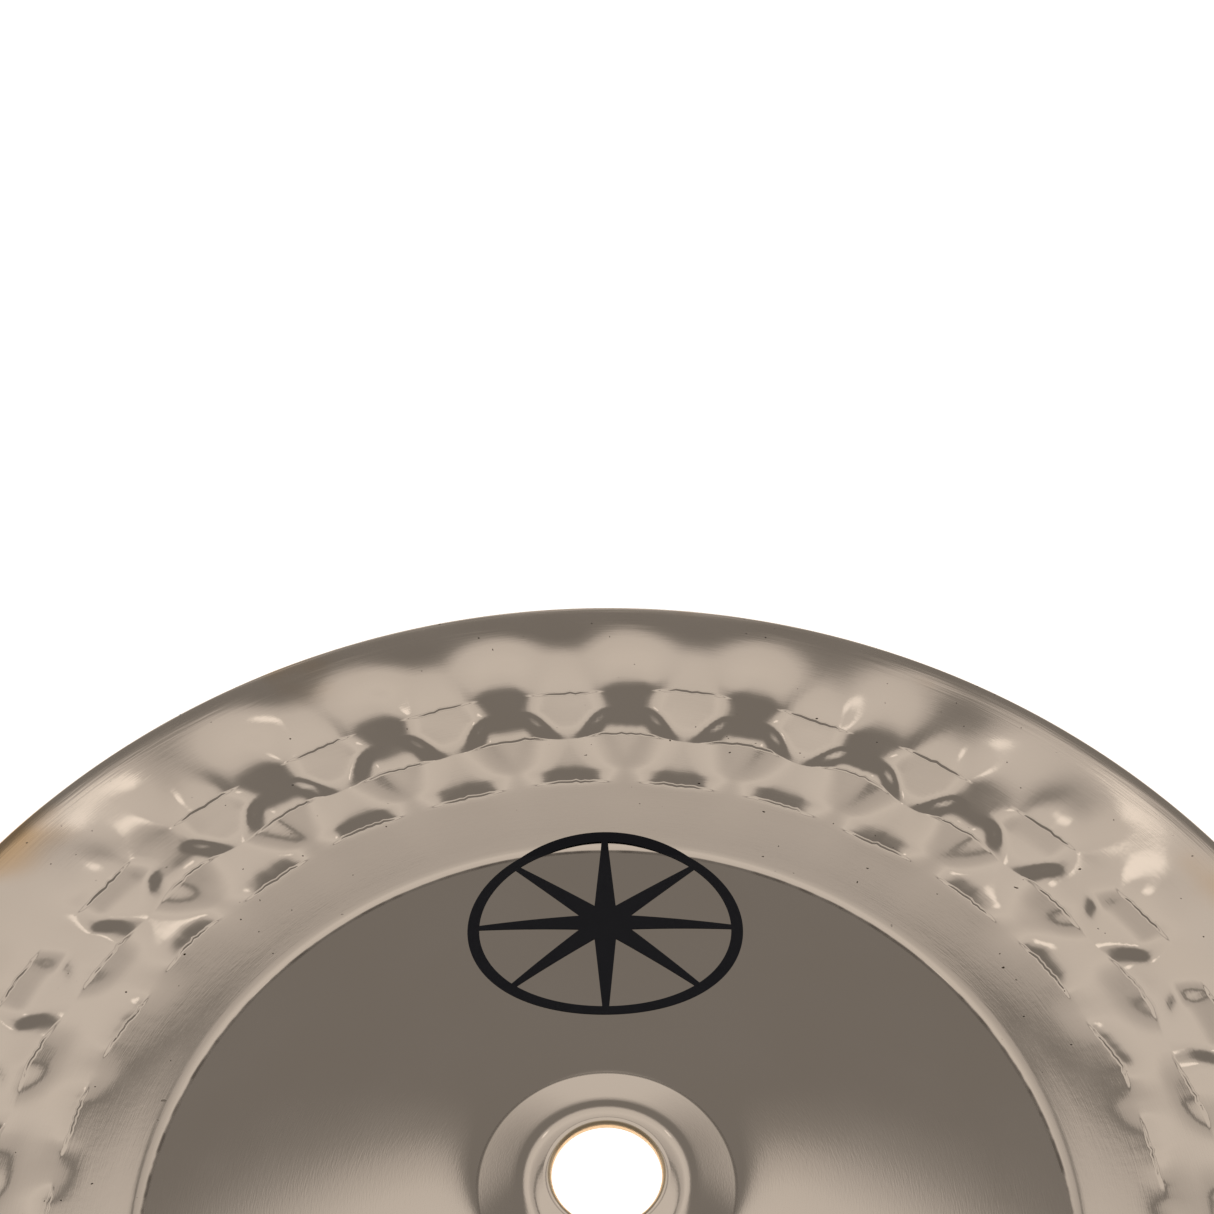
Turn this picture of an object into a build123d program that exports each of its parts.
"""An eight inch crash cymbal with an oversized conical bell, and the emblem printed on it.

The plate is one piece of bronze, pressed and hammered to shape. From the centre out it has a
mounting hole, a small domed crown, a conical bell flank, a sharp crease, and a bow that curves
down to the rim. Three staggered rows of flat hammer marks run round the bow.
The origin is on the cymbal's axis, in the plane that the rim rests on, and +Z is up.
"""

from build123d import *
import os
from math import asin, atan2, cos, degrees, radians, sin, sqrt, tan

# Driving dimensions, in millimetres and degrees
cymbal_radius = 203.2 / 2
hole_radius = 12.7 / 2
plate_thickness = 1.0
bow_drop = 4.3
bell_radius = 56.0
bell_rise = 12.5
crown_radius = 15.0
crown_rise = 3.4
crown_edge_slope = 37.0
hole_bevel = 0.4
rim_round = 0.35

# Hammer marks: flat facets with a sharp outer edge, running out to nothing inwards
marks_per_row = 30
mark_rows = [84.4, 75.7, 67.5]
mark_width = 9.2
mark_length = 6.4
mark_depth = 0.3
first_mark_angle = 93.7

# The printed emblem: a ring round a sun with eight rays
ink_thickness = 0.06
emblem_distance = 41.9
emblem_radius = 17.6
emblem_ring_width = 1.5
emblem_hub_radius = 3.6
emblem_ray_count = 8
emblem_ray_width = 3.2

# Heights of the top surface, above the plane that the rim's rounded lower edge rests on
bow_width = cymbal_radius - bell_radius
bow_arc_radius = (bow_width**2 + bow_drop**2) / (2 * bow_drop)
rim_slope = asin(bow_width / bow_arc_radius)
rim_height = plate_thickness * cos(rim_slope) - rim_round * (sin(rim_slope) + cos(rim_slope) - 1)
crease_height = rim_height + bow_drop
crown_height = crease_height + bell_rise
hole_height = crown_height + crown_rise
flank_slope = atan2(bell_rise, bell_radius - crown_radius)


def bow_height(radius):
    """Height of the bow's top surface, which is an arc that is level at the crease."""
    return crease_height - bow_arc_radius + sqrt(bow_arc_radius**2 - (radius - bell_radius) ** 2)


# Points along the top surface's section
hole_edge = (hole_radius, hole_height)
crown_edge = (crown_radius, crown_height)
crease = (bell_radius, crease_height)
bow_middle = ((bell_radius + cymbal_radius) / 2, bow_height((bell_radius + cymbal_radius) / 2))
rim = (cymbal_radius, rim_height)
crown_direction = (-cos(radians(crown_edge_slope)), sin(radians(crown_edge_slope)))

# The plate is a thin section turned about the axis, with its hole cut straight through
with BuildPart() as cymbal_plate:
    with BuildSketch(Plane.XZ):
        with BuildLine():
            TangentArc(crown_edge, hole_edge, tangent=crown_direction)
            Line(crown_edge, crease)
            ThreePointArc(crease, bow_middle, rim)
            offset(amount=plate_thickness, side=Side.LEFT, kind=Kind.INTERSECTION)
        make_face()
        rim_corners = vertices().sort_by(Axis.X)[-2:]
        fillet(rim_corners, rim_round)
    revolve(axis=Axis.Z)
    Hole(hole_radius)
    hole_rim = edges().filter_by(GeomType.CIRCLE).sort_by(Axis.Z)[-1]
    chamfer(hole_rim, hole_bevel)

    # Neighbouring rows are half a pitch apart, like bricks
    for row, mark_radius in enumerate(mark_rows):
        floor_height = bow_height(mark_radius) - mark_depth
        inner_height = bow_height(mark_radius - mark_length)
        facet_slope = degrees(atan2(inner_height - floor_height, mark_length))
        row_angle = first_mark_angle + (row % 2) * 180 / marks_per_row
        with Locations((0, 0, floor_height)):
            with PolarLocations(mark_radius, marks_per_row, start_angle=row_angle):
                Box(
                    mark_length,
                    mark_width,
                    plate_thickness,
                    rotation=(0, facet_slope, 0),
                    align=(Align.MAX, Align.CENTER, Align.MIN),
                    mode=Mode.SUBTRACT,
                )

# The ink follows the flank and the bow, so its drawing is cut out of a thin skin over them
emblem_height = crease_height + (bell_radius - emblem_distance) * tan(flank_slope)
emblem_plane = Plane(
    origin=(0, emblem_distance, emblem_height),
    x_dir=(1, 0, 0),
    z_dir=(0, sin(flank_slope), cos(flank_slope)),
)
with BuildPart() as printed_emblem:
    with BuildSketch(emblem_plane):
        Circle(emblem_radius)
        Circle(emblem_radius - emblem_ring_width, mode=Mode.SUBTRACT)
        Circle(emblem_hub_radius)
        with PolarLocations(0, emblem_ray_count):
            Polygon(
                (0, emblem_ray_width / 2),
                (0, -emblem_ray_width / 2),
                (emblem_radius - emblem_ring_width / 2, -emblem_ring_width / 4),
                (emblem_radius - emblem_ring_width / 2, emblem_ring_width / 4),
                align=None,
            )
    extrude(amount=plate_thickness * 4, both=True)
    with BuildSketch(Plane.XZ):
        with BuildLine():
            Line(crown_edge, crease)
            ThreePointArc(crease, bow_middle, rim)
            Line(rim, (rim[0], rim[1] + ink_thickness))
            ThreePointArc(
                (rim[0], rim[1] + ink_thickness),
                (bow_middle[0], bow_middle[1] + ink_thickness),
                (crease[0], crease[1] + ink_thickness),
            )
            Line((crease[0], crease[1] + ink_thickness), (crown_edge[0], crown_edge[1] + ink_thickness))
            Line((crown_edge[0], crown_edge[1] + ink_thickness), crown_edge)
        make_face()
    revolve(axis=Axis.Z, mode=Mode.INTERSECT)

os.makedirs("parts", exist_ok=True)
cymbal_plate.part.label = "cymbal_plate"
export_step(cymbal_plate.part, "parts/cymbal_plate.step")
printed_emblem.part.label = "printed_emblem"
export_step(printed_emblem.part, "parts/printed_emblem.step")
